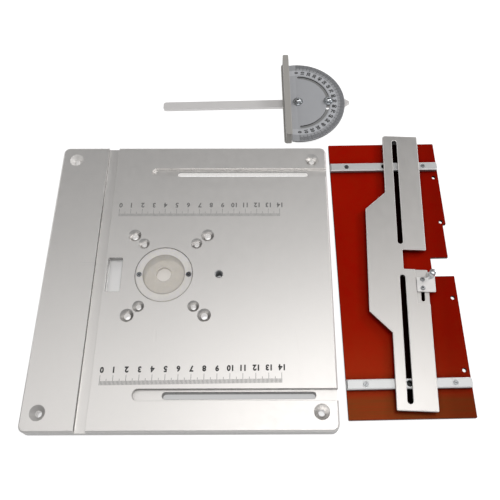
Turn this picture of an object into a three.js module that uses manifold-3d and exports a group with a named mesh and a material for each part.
// Bench-top router table kit: a milled aluminium table plate with its mitre gauge and
// its adjustable fence, laid out flat on one bench plane (z = 0).
// Millimetres, +Z up. +X runs across the table towards the fence, +Y runs along the
// mitre slot, away from the operator. The table is drawn about the router bit axis, and
// the whole kit is shifted at the end so that x = 0 falls midway across the plate.
import * as THREE from "three";
import { mergeVertices } from "three/addons/utils/BufferGeometryUtils.js";
import Module from "manifold-3d";

const wasm = await Module();
wasm.setup();

const DEG = Math.PI / 180;
const GAP = 0.05;                 // left between pieces that rest on each other
const CUT_PAST = 1;               // cutters run this far past an outer face
const CUT_INTO = 0.5;             // and this far up into a pocket already cut
const SLOT_ROUND = 0.999;         // end radius over half width, keeps outline points apart

// ---------------------------------------------------------------- solids
// A closed three.js geometry as a solid: shared vertices merged, collapsed triangles
// dropped, faces turned outwards.
function solid(geometry) {
  for (const key of Object.keys(geometry.attributes)) {
    if (key !== "position") geometry.deleteAttribute(key);
  }
  const merged = mergeVertices(geometry, 1e-4);
  const position = merged.attributes.position;
  const index = merged.index.array;
  const corner = (k) => new THREE.Vector3().fromBufferAttribute(position, k);
  const triangles = [];
  let volume = 0;
  for (let i = 0; i < index.length; i += 3) {
    const [a, b, c] = index.slice(i, i + 3);
    if (a === b || b === c || a === c) continue;
    triangles.push(a, b, c);
    volume += corner(a).dot(corner(b).cross(corner(c)));
  }
  if (volume < 0) {
    for (let i = 0; i < triangles.length; i += 3) {
      [triangles[i], triangles[i + 1]] = [triangles[i + 1], triangles[i]];
    }
  }
  return new wasm.Manifold(new wasm.Mesh({
    numProp: 3,
    vertProperties: new Float32Array(position.array),
    triVerts: new Uint32Array(triangles),
  }));
}

function indexedGeometry(positions, index) {
  const geometry = new THREE.BufferGeometry();
  geometry.setAttribute("position", new THREE.BufferAttribute(new Float32Array(positions), 3));
  geometry.setIndex(new THREE.BufferAttribute(new Uint32Array(index), 1));
  return geometry;
}

function cut(body, ...tools) {
  return tools.flat(2).reduce((rest, tool) => rest.subtract(tool), body);
}

// A flat outline of [x, y] points pulled up from z0 to z1.
function prism(points, z0, z1) {
  const shape = new THREE.Shape(points.map(([x, y]) => new THREE.Vector2(x, y)));
  const geometry = new THREE.ExtrudeGeometry(shape, { depth: z1 - z0, bevelEnabled: false });
  geometry.translate(0, 0, z0);
  return solid(geometry);
}

function box(x0, y0, z0, x1, y1, z1) {
  const geometry = new THREE.BoxGeometry(x1 - x0, y1 - y0, z1 - z0);
  geometry.translate((x0 + x1) / 2, (y0 + y1) / 2, (z0 + z1) / 2);
  return solid(geometry);
}

// A turned solid about a vertical axis at (x, y): profile is [radius, z] pairs that
// start and end on the axis.
function turned(profile, x, y, segments) {
  const points = profile.map(([radius, z]) => new THREE.Vector2(radius, z));
  const geometry = new THREE.LatheGeometry(points, segments);
  geometry.rotateX(Math.PI / 2);
  geometry.translate(x, y, 0);
  return solid(geometry);
}

function rod(x, y, radius, z0, z1, segments = 24) {
  const geometry = new THREE.CylinderGeometry(radius, radius, z1 - z0, segments);
  geometry.rotateX(Math.PI / 2);
  geometry.translate(x, y, (z0 + z1) / 2);
  return solid(geometry);
}

// A cutter for a plain hole through a body lying between z0 and z1.
function drill(x, y, radius, z0, z1, segments) {
  return rod(x, y, radius, z0 - CUT_PAST, z1 + CUT_PAST, segments);
}

// A cutter for a countersunk hole from foot up through the face at top. The cone starts
// coneDepth below the face and reaches headR at rimDepth below it.
function countersink({ x, y, headR, boreR, foot, top, coneDepth, rimDepth, segments }) {
  return turned([
    [0, foot], [boreR, foot], [boreR, top - coneDepth], [headR, top - rimDepth],
    [headR, top + CUT_PAST], [0, top + CUT_PAST],
  ], x, y, segments);
}

// Countersunk screw whose flat head lies just under the given surface.
function flatScrew(x, y, headR, shankR, surface, foot) {
  const top = surface - 0.05;
  const rimZ = top - 0.25;
  return turned([
    [0, foot], [shankR, foot], [shankR, rimZ - (headR - shankR)], [headR, rimZ],
    [headR, top], [0, top],
  ], x, y, 20);
}

// Plain shank from foot up to seat; head is [radius, height above seat] pairs.
function headedPin(x, y, { foot, shankR, seat, head, segments }) {
  const headProfile = head.map(([radius, rise]) => [radius, seat + rise]);
  return turned([[0, foot], [shankR, foot], [shankR, seat], ...headProfile], x, y, segments);
}

// ---------------------------------------------------------------- outlines
// Points along an arc, angles in degrees.
function arc(x, y, radius, start, sweep, steps) {
  return Array.from({ length: steps + 1 }, (_, i) => {
    const angle = (start + (sweep * i) / steps) * DEG;
    return [x + radius * Math.cos(angle), y + radius * Math.sin(angle)];
  });
}

// A box outline with rounded corners: one radius, or four in the order lower left,
// lower right, upper right, upper left. A zero radius leaves the corner sharp.
function roundBox(x0, y0, x1, y1, radii, segments) {
  const [r0, r1, r2, r3] = Array.isArray(radii) ? radii : [radii, radii, radii, radii];
  const corners = [
    [x0 + r0, y0 + r0, r0, 180],
    [x1 - r1, y0 + r1, r1, 270],
    [x1 - r2, y1 - r2, r2, 0],
    [x0 + r3, y1 - r3, r3, 90],
  ];
  return corners.flatMap(([x, y, radius, start]) =>
    (radius === 0 ? [[x, y]] : arc(x, y, radius, start, 90, segments)));
}

// Slot cutters with round ends. slotX can leave its +x end square, to run out.
function slotX(x0, x1, y, width, z0, z1, roundEnd = true) {
  const half = width / 2;
  const start = half * SLOT_ROUND;
  const end = roundEnd ? start : 0;
  return prism(roundBox(x0, y - half, x1, y + half, [start, end, end, start], 8), z0, z1);
}

function slotY(y0, y1, x, width, z0, z1) {
  const half = width / 2;
  return prism(roundBox(x - half, y0, x + half, y1, half * SLOT_ROUND, 8), z0, z1);
}

// Places at every x in a row, on a row at y and a row at -y.
function twoRows(xs, y) {
  return [y, -y].flatMap((rowY) => xs.map((x) => [x, rowY]));
}

// ---------------------------------------------------------------- materials
const finish = (settings) => new THREE.MeshStandardMaterial(settings);

const satinAluminium = finish({ color: 0xc9c9c6, roughness: 0.42, metalness: 1 });
const greyAluminium = finish({ color: 0x9b9ea4, roughness: 0.5, metalness: 1 });
const stripAluminium = finish({ color: 0xb3b6bd, roughness: 0.4, metalness: 1 });
const brightAluminium = finish({ color: 0xd6d6d4, roughness: 0.35, metalness: 1 });
const zincSteel = finish({ color: 0xd0d4d6, roughness: 0.25, metalness: 1 });
const redBoard = finish({ color: 0x8b1006, roughness: 0.35, metalness: 0 });
const frosted = finish({ color: 0xbdb8ad, roughness: 0.4, metalness: 0 });

// ---------------------------------------------------------------- groups
const routerTable = new THREE.Group();
routerTable.name = "router_table";

function addGroup([x, y], degrees) {
  const group = new THREE.Group();
  group.position.set(x, y, 0);
  group.rotation.z = degrees * DEG;
  routerTable.add(group);
  return group;
}

function place(group, name, body, material) {
  const { vertProperties, triVerts } = body.getMesh();
  const geometry = indexedGeometry(vertProperties, triVerts);
  geometry.computeVertexNormals();
  const mesh = new THREE.Mesh(geometry, material.clone());
  mesh.name = name;
  group.add(mesh);
}

// ---------------------------------------------------------------- table plate
const PLATE_X0 = -100;            // left edge
const PLATE_X1 = 140;             // right edge
const PLATE_Y0 = -125.2;          // front edge
const PLATE_Y1 = 124.4;           // back edge
const PLATE_T = 12;
const PLATE_CORNER_R = 5.5;
const PLATE_CHAMFER = 1.2;
const MITRE_X0 = -58.5;           // mitre slot, open at the front and back edges
const MITRE_X1 = -49.5;
const MITRE_DEEP = 4;
const WINDOW_X0 = -47.6;          // pocket beside the mitre slot
const WINDOW_X1 = -35.3;
const WINDOW_HALF_Y = 14.9;
const WINDOW_CORNER_R = 1.2;
const WINDOW_DEEP = 6;
const GROOVE_Y = 98;              // two fence grooves, one each side of the bit
const GROOVE_W = 9;
const GROOVE_DEEP = 4;
const GROOVE_X0 = -17.3;          // closed round end; the other runs out at the right edge
const GROOVE_SLOT_W = 5.3;        // clamp-bolt slot in the groove floor
const GROOVE_SLOT_X0 = 5.1;
const GROOVE_SLOT_X1 = 123.3;
const CORNER_HOLE_INSET = 13;     // from the left and right edges
const CONE_SLOPE = 1.15;          // countersink depth over its widening
const PLATE_HOLES = [             // countersunk holes, in rows at y and -y
  {
    xs: [PLATE_X0 + CORNER_HOLE_INSET, PLATE_X1 - CORNER_HOLE_INSET],
    rowY: 111, headR: 6, boreR: 2.6,
  },
  { xs: [-27.3, 35], rowY: 35.4, headR: 5.5, boreR: 2.75 },
  { xs: [-18.8, 25.9], rowY: 27.8, headR: 4.75, boreR: 2.25 },
];
const START_PIN_X = 45.8;         // hole for a starting pin
const START_PIN_R = 3.15;
const RING_R = 24.05;             // counterbore that takes the insert disc
const RING_DEEP = 4;
const RING_FLOOR = PLATE_T - RING_DEEP;
const LEDGE_R = 17.1;             // opening under the insert disc
const INSERT_SCREW_XS = [20.6, -20.6];
const INSERT_PILOT_R = 1.35;      // blind screw holes in the ledge
const INSERT_PILOT_Z0 = 2.5;

// The blank plate, its top rim milled off at 45 degrees.
function chamferedPlate() {
  const ringAt = (inset, z) => roundBox(
    PLATE_X0 + inset, PLATE_Y0 + inset, PLATE_X1 - inset, PLATE_Y1 - inset,
    PLATE_CORNER_R - inset, 7,
  ).map(([x, y]) => [x, y, z]);
  const rings = [
    ringAt(0, 0),
    ringAt(0, PLATE_T - PLATE_CHAMFER),
    ringAt(PLATE_CHAMFER, PLATE_T),
  ];
  const count = rings[0].length;
  const index = [];
  for (let k = 0; k < rings.length - 1; k++) {
    const low = k * count;
    const high = low + count;
    for (let i = 0; i < count; i++) {
      const j = (i + 1) % count;
      index.push(low + i, low + j, high + j, low + i, high + j, high + i);
    }
  }
  const top = 2 * count;
  for (let i = 1; i < count - 1; i++) {
    index.push(0, i + 1, i);
    index.push(top, top + i, top + i + 1);
  }
  return solid(indexedGeometry(rings.flat(2), index));
}

function fenceGroove(y) {
  const floor = PLATE_T - GROOVE_DEEP;
  const openX = PLATE_X1 + CUT_PAST;
  return [
    slotX(GROOVE_X0, openX, y, GROOVE_W, floor, PLATE_T + CUT_PAST, false),
    slotX(GROOVE_SLOT_X0, GROOVE_SLOT_X1, y, GROOVE_SLOT_W, -CUT_PAST, floor + CUT_INTO),
  ];
}

function plateHoles({ xs, rowY, headR, boreR }) {
  return twoRows(xs, rowY).map(([x, y]) => countersink({
    x, y, headR, boreR, foot: -CUT_PAST, top: PLATE_T,
    coneDepth: (headR - boreR) * CONE_SLOPE, rimDepth: 0, segments: 28,
  }));
}

function tablePlate() {
  const above = PLATE_T + CUT_PAST;
  const window = roundBox(
    WINDOW_X0, -WINDOW_HALF_Y, WINDOW_X1, WINDOW_HALF_Y, WINDOW_CORNER_R, 3,
  );
  return cut(
    chamferedPlate(),
    box(
      MITRE_X0, PLATE_Y0 - CUT_PAST, PLATE_T - MITRE_DEEP,
      MITRE_X1, PLATE_Y1 + CUT_PAST, above,
    ),
    prism(window, PLATE_T - WINDOW_DEEP, above),
    [GROOVE_Y, -GROOVE_Y].map(fenceGroove),
    PLATE_HOLES.map(plateHoles),
    drill(START_PIN_X, 0, START_PIN_R, 0, PLATE_T),
    rod(0, 0, RING_R, RING_FLOOR, above, 64),
    rod(0, 0, LEDGE_R, -CUT_PAST, RING_FLOOR + CUT_INTO, 56),
    INSERT_SCREW_XS.map((x) =>
      rod(x, 0, INSERT_PILOT_R, INSERT_PILOT_Z0, RING_FLOOR + CUT_INTO, 16)),
  );
}

const table = addGroup([0, 0], 0);
place(table, "table_plate", tablePlate(), satinAluminium);

// ---------------------------------------------------------------- insert disc
const DISC_R = RING_R - 0.25;
const DISC_T = 3.75;
const DISC_Z0 = RING_FLOOR + GAP;
const DISC_Z1 = DISC_Z0 + DISC_T;
const BIT_R = 6;                  // bit opening

function insertDisc() {
  return cut(
    rod(0, 0, DISC_R, DISC_Z0, DISC_Z1, 64),
    drill(0, 0, BIT_R, DISC_Z0, DISC_Z1, 40),
    INSERT_SCREW_XS.map((x) => countersink({
      x, y: 0, headR: 2.5, boreR: 1.4, foot: 5, top: DISC_Z1,
      coneDepth: 1.2, rimDepth: 0.1, segments: 20,
    })),
  );
}

place(table, "insert_disc", insertDisc(), frosted);
for (const x of INSERT_SCREW_XS) {
  const side = x > 0 ? "right" : "left";
  place(table, `insert_screw_${side}`, flatScrew(x, 0, 2.3, 1.2, DISC_Z1, 3), zincSteel);
}

// ---------------------------------------------------------------- mitre gauge
// In its own frame: origin on the pivot, +x towards the pointer.
const GAUGE_AT = [116.3, 181.1];
const GAUGE_TURN = 1.45;          // degrees
const BAR_HALF_W = 4.4;
const BAR_T = 3.6;
const BAR_X0 = -130.5;            // rounded end
const BAR_X1 = 45.2;              // start of the pointer
const POINTER_X = 50.1;
const HEAD_R = 45.5;              // half-disc protractor
const HEAD_T = 1.8;
const HEAD_EDGE_X = -7.5;         // straight edge of the half disc
const HEAD_Z0 = BAR_T + GAP;
const HEAD_Z1 = HEAD_Z0 + HEAD_T;
const ARC_R = 29.5;               // curved clamp slot
const ARC_HALF_W = 1.5;
const ARC_HALF = 86;              // degrees each side of the bar
const PIVOT_BORE_R = 2.15;        // in protractor and washer
const WALL_X1 = HEAD_EDGE_X - 0.3;
const WALL_T = 5.7;
const WALL_X0 = WALL_X1 - WALL_T;
const WALL_TOP = 20.4;
const WALL_HALF_L = 46.7;
const LIP_W = 1.4;                // lip along the foot of the wall, on its -x side
const LIP_T = 2;
const LIP_OVERLAP = 1;            // lip stops this far short of the wall's +x face
const WASHER_R = 4.8;
const WASHER_Z0 = HEAD_Z1 + GAP;
const WASHER_Z1 = WASHER_Z0 + 1;
const GAUGE_SCREW_HEAD = [        // [radius, height above seat]
  [3.3, 0], [3.3, 1.2], [2.95, 2.2], [1.9, 2.95], [0, 3.2],
];

function gaugeBar() {
  const upperSide = [             // from the pointer's tip to the rounded end
    [POINTER_X, 0.8], [POINTER_X - 0.5, 1.5],
    [BAR_X1, BAR_HALF_W], [BAR_X0 + 2.6, BAR_HALF_W],
    [BAR_X0 + 1.0, BAR_HALF_W - 0.7], [BAR_X0 + 0.2, BAR_HALF_W - 2.2], [BAR_X0, 0.9],
  ];
  const lowerSide = upperSide.map(([x, y]) => [x, -y]).reverse();
  return cut(
    prism([...upperSide, ...lowerSide], 0, BAR_T),
    drill(0, 0, 2.1, 0, BAR_T),
    drill(ARC_R, 0, 1.65, 0, BAR_T),
  );
}

// The round end of the curved slot at an angle, without the points it shares with the
// slot's sides.
function arcSlotEnd(angle, start) {
  const x = ARC_R * Math.cos(angle * DEG);
  const y = ARC_R * Math.sin(angle * DEG);
  return arc(x, y, ARC_HALF_W, start, 180, 6).slice(1, -1);
}

function gaugeProtractor() {
  const headEnd = Math.acos(HEAD_EDGE_X / HEAD_R) / DEG;
  const slot = [
    ...arc(0, 0, ARC_R + ARC_HALF_W, -ARC_HALF, 2 * ARC_HALF, 36),
    ...arcSlotEnd(ARC_HALF, ARC_HALF),
    ...arc(0, 0, ARC_R - ARC_HALF_W, ARC_HALF, -2 * ARC_HALF, 36),
    ...arcSlotEnd(-ARC_HALF, 180 - ARC_HALF),
  ];
  return cut(
    prism(arc(0, 0, HEAD_R, -headEnd, 2 * headEnd, 60), HEAD_Z0, HEAD_Z1),
    prism(slot, HEAD_Z0 - CUT_PAST, HEAD_Z1 + CUT_PAST),
    drill(0, 0, PIVOT_BORE_R, HEAD_Z0, HEAD_Z1),
  );
}

function gaugeFence() {
  const wall = roundBox(WALL_X0, -WALL_HALF_L, WALL_X1, WALL_HALF_L, 1.6, 4);
  const lip = roundBox(
    WALL_X0 - LIP_W, -WALL_HALF_L, WALL_X1 - LIP_OVERLAP, WALL_HALF_L,
    [2.6, 0.4, 0.4, 2.6], 5,
  );
  return prism(wall, HEAD_Z0, WALL_TOP).add(prism(lip, HEAD_Z0, HEAD_Z0 + LIP_T));
}

function gaugeScrew(x, shankR) {
  return headedPin(x, 0, {
    foot: 0.3, shankR, seat: WASHER_Z1 + GAP, head: GAUGE_SCREW_HEAD, segments: 28,
  });
}

function gaugeWasher(x, boreR) {
  return cut(
    rod(x, 0, WASHER_R, WASHER_Z0, WASHER_Z1, 32),
    drill(x, 0, boreR, WASHER_Z0, WASHER_Z1),
  );
}

const gauge = addGroup(GAUGE_AT, GAUGE_TURN);
place(gauge, "gauge_bar", gaugeBar(), greyAluminium);
place(gauge, "gauge_protractor", gaugeProtractor(), greyAluminium);
place(gauge, "gauge_fence", gaugeFence(), greyAluminium);
for (const { name, x, shankR, boreR } of [
  { name: "pivot", x: 0, shankR: 1.9, boreR: PIVOT_BORE_R },
  { name: "lock", x: ARC_R, shankR: 1.45, boreR: 1.7 },
]) {
  place(gauge, `${name}_screw`, gaugeScrew(x, shankR), zincSteel);
  place(gauge, `${name}_washer`, gaugeWasher(x, boreR), zincSteel);
}

// ---------------------------------------------------------------- fence board
// In its own frame: origin at its centre.
const BOARD_AT = [194.8, 9.1];
const BOARD_TURN = 0.94;          // degrees
const BOARD_HALF_W = 49.25;
const BOARD_HALF_L = 124;
const BOARD_T = 3;
const BOARD_NOTCH_HALF = 8.5;     // notch in the +x edge
const BOARD_NOTCH_DEEP = 18;
const RELIEF_DEEP = 2.75;         // shallow step in the +x edge, from the notch to RELIEF_Y1
const RELIEF_Y1 = 40;
const EDGE_HOLE_YS = [87.6, 42.5, -27.8, -87.7];
const EDGE_HOLE_INSET = 4.2;
const STRIP_Y = GROOVE_Y;         // a strip over each fence groove's line
const STRIP_HALF_W = 3.9;
const STRIP_Z0 = BOARD_T + GAP;
const STRIP_Z1 = 7;
const STRIP_BORE_R = 2.5;         // centre hole through strip and board
const STRIP_SCREW_XS = [-34.25, 35.65];
const STRIP_SCREW_BORE_R = 1.25;

function fenceBoard() {
  const edge = BOARD_HALF_W;
  const outline = [
    [-edge, -BOARD_HALF_L], [edge, -BOARD_HALF_L],
    [edge, -BOARD_NOTCH_HALF], [edge - BOARD_NOTCH_DEEP, -BOARD_NOTCH_HALF],
    [edge - BOARD_NOTCH_DEEP, BOARD_NOTCH_HALF], [edge - RELIEF_DEEP, BOARD_NOTCH_HALF],
    [edge - RELIEF_DEEP, RELIEF_Y1], [edge, RELIEF_Y1],
    [edge, BOARD_HALF_L], [-edge, BOARD_HALF_L],
  ];
  return cut(
    prism(outline, 0, BOARD_T),
    EDGE_HOLE_YS.map((y) => drill(edge - EDGE_HOLE_INSET, y, 1.6, 0, BOARD_T, 20)),
    twoRows([0], STRIP_Y).map(([x, y]) => drill(x, y, STRIP_BORE_R, 0, BOARD_T)),
    twoRows(STRIP_SCREW_XS, STRIP_Y).map(([x, y]) =>
      drill(x, y, STRIP_SCREW_BORE_R, 0, BOARD_T, 16)),
  );
}

function boardStrip(y) {
  const outline = roundBox(
    -BOARD_HALF_W, y - STRIP_HALF_W, BOARD_HALF_W, y + STRIP_HALF_W, [0, 2.2, 2.2, 0], 5,
  );
  return cut(
    prism(outline, STRIP_Z0, STRIP_Z1),
    drill(0, y, STRIP_BORE_R, STRIP_Z0, STRIP_Z1),
    STRIP_SCREW_XS.map((x) => countersink({
      x, y, headR: 2.35, boreR: STRIP_SCREW_BORE_R, foot: 0, top: STRIP_Z1,
      coneDepth: 1.35, rimDepth: 0.1, segments: 20,
    })),
  );
}

const board = addGroup(BOARD_AT, BOARD_TURN);
place(board, "fence_board", fenceBoard(), redBoard);
for (const [label, y] of [["far", STRIP_Y], ["near", -STRIP_Y]]) {
  place(board, `strip_${label}`, boardStrip(y), stripAluminium);
  for (const x of STRIP_SCREW_XS) {
    const name = `strip_screw_${label}_${x > 0 ? "right" : "left"}`;
    place(board, name, flatScrew(x, y, 2.1, 1.05, STRIP_Z1, 0.6), zincSteel);
  }
}

// ---------------------------------------------------------------- fence face
// Sliding face on top of the strips, in its own frame: origin at its centre, z from
// the bench.
const FACE_AT = [204.9, 13.8];
const FACE_TURN = -2.31;          // degrees
const FACE_HALF_W = 16;
const FACE_HALF_L = 124.2;
const FACE_Z0 = STRIP_Z1 + GAP;
const FACE_Z1 = FACE_Z0 + 3;
const FACE_CORNER_CUT = 1.6;      // far corner on the -x side
const HUMP_X = -34;               // wide middle part, on the -x side
const HUMP_IN = 46.8;             // half length at its outer edge
const HUMP_OUT = 64;              // half length where it meets the face
const FACE_SLOT_X = -5.3;         // two long slots, at +y and -y
const FACE_SLOT_W = 4.6;
const FACE_SLOT_Y0 = 14.1;
const FACE_SLOT_Y1 = 119.2;
const FACE_NOTCH_X = -4;          // floor of the notch in the +x edge
const FACE_NOTCH_HALF = 8.85;
const RECESS_X = 5.5;             // seat of the stop bracket
const RECESS_Y = -39;
const RECESS_FLOOR = FACE_Z1 - 1.5;
const STOP_SLOT_X = 10.8;
const STOP_SLOT_W = 3;
const STOP_SLOT_Y0 = -36.5;
const STOP_SLOT_Y1 = -16.3;

function fenceFace() {
  const outline = [
    [-FACE_HALF_W, -FACE_HALF_L], [FACE_HALF_W, -FACE_HALF_L],
    [FACE_HALF_W, -FACE_NOTCH_HALF], [FACE_NOTCH_X, -FACE_NOTCH_HALF],
    [FACE_NOTCH_X, FACE_NOTCH_HALF], [FACE_HALF_W, FACE_NOTCH_HALF],
    [FACE_HALF_W, FACE_HALF_L], [-FACE_HALF_W + FACE_CORNER_CUT, FACE_HALF_L],
    [-FACE_HALF_W, FACE_HALF_L - FACE_CORNER_CUT], [-FACE_HALF_W, HUMP_OUT],
    [HUMP_X, HUMP_IN], [HUMP_X, -HUMP_IN], [-FACE_HALF_W, -HUMP_OUT],
  ];
  const slots = [                 // [y0, y1, x, width]
    [FACE_SLOT_Y0, FACE_SLOT_Y1, FACE_SLOT_X, FACE_SLOT_W],
    [-FACE_SLOT_Y1, -FACE_SLOT_Y0, FACE_SLOT_X, FACE_SLOT_W],
    [STOP_SLOT_Y0, STOP_SLOT_Y1, STOP_SLOT_X, STOP_SLOT_W],
  ];
  return cut(
    prism(outline, FACE_Z0, FACE_Z1),
    slots.map((slot) => slotY(...slot, FACE_Z0 - CUT_PAST, FACE_Z1 + CUT_PAST)),
    box(
      RECESS_X, RECESS_Y, RECESS_FLOOR,
      FACE_HALF_W + CUT_PAST, -FACE_NOTCH_HALF + CUT_PAST, FACE_Z1 + CUT_PAST,
    ),
  );
}

const face = addGroup(FACE_AT, FACE_TURN);
place(face, "fence_face", fenceFace(), brightAluminium);

// ---------------------------------------------------------------- stop bracket
// In the fence face's frame.
const STOP_X0 = 6.1;
const STOP_X1 = 21.4;
const STOP_Y0 = -28.7;
const STOP_Y1 = -16.1;
const STOP_Z0 = RECESS_FLOOR + GAP;
const STOP_Z1 = STOP_Z0 + 1.7;
const EAR_X0 = 15.4;              // ear on the +y side that carries the roller
const EAR_Y1 = -11.3;
const EAR_OVERLAP = 2;
const STOP_SCREWS = [["far", -18.0], ["near", -25.7]];
const STOP_BORE_R = 1.4;          // in bracket and nuts
const NUT_R = 2.7;                // across the corners, halved
const NUT_Z0 = 5.3;
const NUT_Z1 = FACE_Z0 - GAP;
const ROLLER_AT = [18.4, -14.2];
const ROLLER_R = 2.7;
const ROLLER_BORE_R = 1.3;        // in bracket and roller
const ROLLER_CHAMFER = 0.3;
const ROLLER_PLAY = 0.15;         // above and below the roller
const ROLLER_Z0 = STOP_Z1 + ROLLER_PLAY;
const ROLLER_Z1 = 18.4;

function stopBracket() {
  const base = roundBox(STOP_X0, STOP_Y0, STOP_X1, STOP_Y1, [0.4, 0.6, 0.01, 0.4], 3);
  const ear = roundBox(
    EAR_X0, STOP_Y1 - EAR_OVERLAP, STOP_X1, EAR_Y1, [0.01, 0.01, 2.6, 2.6], 5,
  );
  return cut(
    prism(base, STOP_Z0, STOP_Z1).add(prism(ear, STOP_Z0, STOP_Z1)),
    STOP_SCREWS.map(([, y]) => drill(STOP_SLOT_X, y, STOP_BORE_R, STOP_Z0, STOP_Z1, 20)),
    drill(...ROLLER_AT, ROLLER_BORE_R, STOP_Z0, STOP_Z1, 20),
  );
}

function stopScrew(y) {
  return headedPin(STOP_SLOT_X, y, {
    foot: 4.9, shankR: 1.15, seat: STOP_Z1 + GAP,
    head: [[1.95, 0], [1.95, 0.7], [1.5, 1.1], [0, 1.2]], segments: 20,
  });
}

// Six-sided nut under the face.
function stopNut(y) {
  return cut(
    rod(STOP_SLOT_X, y, NUT_R, NUT_Z0, NUT_Z1, 6),
    drill(STOP_SLOT_X, y, STOP_BORE_R, NUT_Z0, NUT_Z1, 20),
  );
}

function rollerPin() {
  return headedPin(...ROLLER_AT, {
    foot: 8.7, shankR: 1.1, seat: ROLLER_Z1 + ROLLER_PLAY,
    head: [[2.2, 0], [2.2, 0.55], [1.7, 0.95], [0, 1.05]], segments: 24,
  });
}

function stopRoller() {
  const endR = ROLLER_R - ROLLER_CHAMFER;
  const profile = [
    [0, ROLLER_Z0], [endR, ROLLER_Z0], [ROLLER_R, ROLLER_Z0 + ROLLER_CHAMFER],
    [ROLLER_R, ROLLER_Z1 - ROLLER_CHAMFER], [endR, ROLLER_Z1], [0, ROLLER_Z1],
  ];
  return cut(
    turned(profile, ...ROLLER_AT, 32),
    drill(...ROLLER_AT, ROLLER_BORE_R, ROLLER_Z0, ROLLER_Z1),
  );
}

place(face, "stop_bracket", stopBracket(), brightAluminium);
for (const [label, y] of STOP_SCREWS) {
  place(face, `stop_screw_${label}`, stopScrew(y), zincSteel);
  place(face, `stop_nut_${label}`, stopNut(y), zincSteel);
}
place(face, "roller_pin", rollerPin(), zincSteel);
place(face, "stop_roller", stopRoller(), zincSteel);

routerTable.position.x = -(PLATE_X0 + PLATE_X1) / 2;

export default routerTable;
